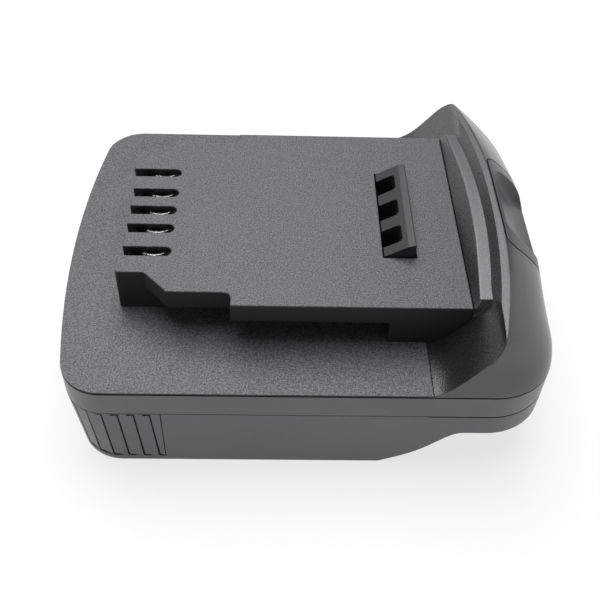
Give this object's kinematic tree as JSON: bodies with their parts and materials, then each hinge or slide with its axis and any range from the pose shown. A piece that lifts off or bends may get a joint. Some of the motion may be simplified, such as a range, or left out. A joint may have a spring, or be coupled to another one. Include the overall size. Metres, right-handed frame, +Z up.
{
  "type": "tool battery adapter",
  "caption": "Slide-on battery adapter: tool rail and spring latch on top, battery channel below, release button on a rounded end.",
  "frame": {"origin": "centre of the bounding box in plan, on the base plane", "axes": "+Z up, +X towards the release button, so the tool slides on from -X and the donor battery slides in from +X"},
  "size_m": [0.0938, 0.076, 0.0357],
  "materials": {
    "textured_deck": "coarse spark textured black nylon",
    "satin_housing": "fine satin dark grey glass filled nylon",
    "satin_frame": "fine satin dark grey glass filled nylon",
    "satin_shroud": "satin outside, coarse texture on the inner slope and ledge",
    "button_plastic": "smooth satin dark grey nylon",
    "latch_plastic": "smooth satin dark grey acetal",
    "spring_steel": "bare wound spring steel",
    "contact_nickel": "bright nickel plated copper strip",
    "carrier_plastic": "plain black flame proof nylon",
    "board_laminate": "green glass epoxy laminate with solder mask",
    "block_plastic": "plain black terminal block nylon",
    "blade_nickel": "nickel plated brass strip",
    "lead_red": "red silicone insulated lead",
    "lead_black": "black silicone insulated lead",
    "lead_white": "white silicone insulated lead",
    "lead_yellow": "yellow silicone insulated lead",
    "screw_steel": "zinc plated steel"
  },
  "bodies": {
    "case": {"lower_housing": "satin_housing", "middle_frame": "satin_frame", "top_cover": "textured_deck", "rear_shroud": "satin_shroud", "clip_carrier": "carrier_plastic", "contact_board": "board_laminate", "terminal_block": "block_plastic", "case_screws": "screw_steel", "shroud_screws": "screw_steel", "board_screws": "screw_steel", "latch_spring_1": "spring_steel", "latch_spring_2": "spring_steel", "blade_positive": "blade_nickel", "blade_negative": "blade_nickel", "blade_signal_1": "blade_nickel", "blade_signal_2": "blade_nickel", "lead_positive": "lead_red", "lead_negative": "lead_black", "lead_signal_1": "lead_white", "lead_signal_2": "lead_yellow", "contact_clip_1": "contact_nickel", "contact_clip_2": "contact_nickel", "contact_clip_3": "contact_nickel", "contact_clip_4": "contact_nickel", "contact_clip_5": "contact_nickel"},
    "latch": {"latch_hook": "latch_plastic", "release_button": "button_plastic"}
  },
  "joints": [
    {"name": "latch_release", "type": "slide", "parent": "case", "child": "latch", "axis": [0, 0, -1], "range_m": [0, 0.0035], "stiffness_N_per_m": 1500, "springref_m": -0.002, "deforming": ["latch_spring_1", "latch_spring_2"]}
  ]
}
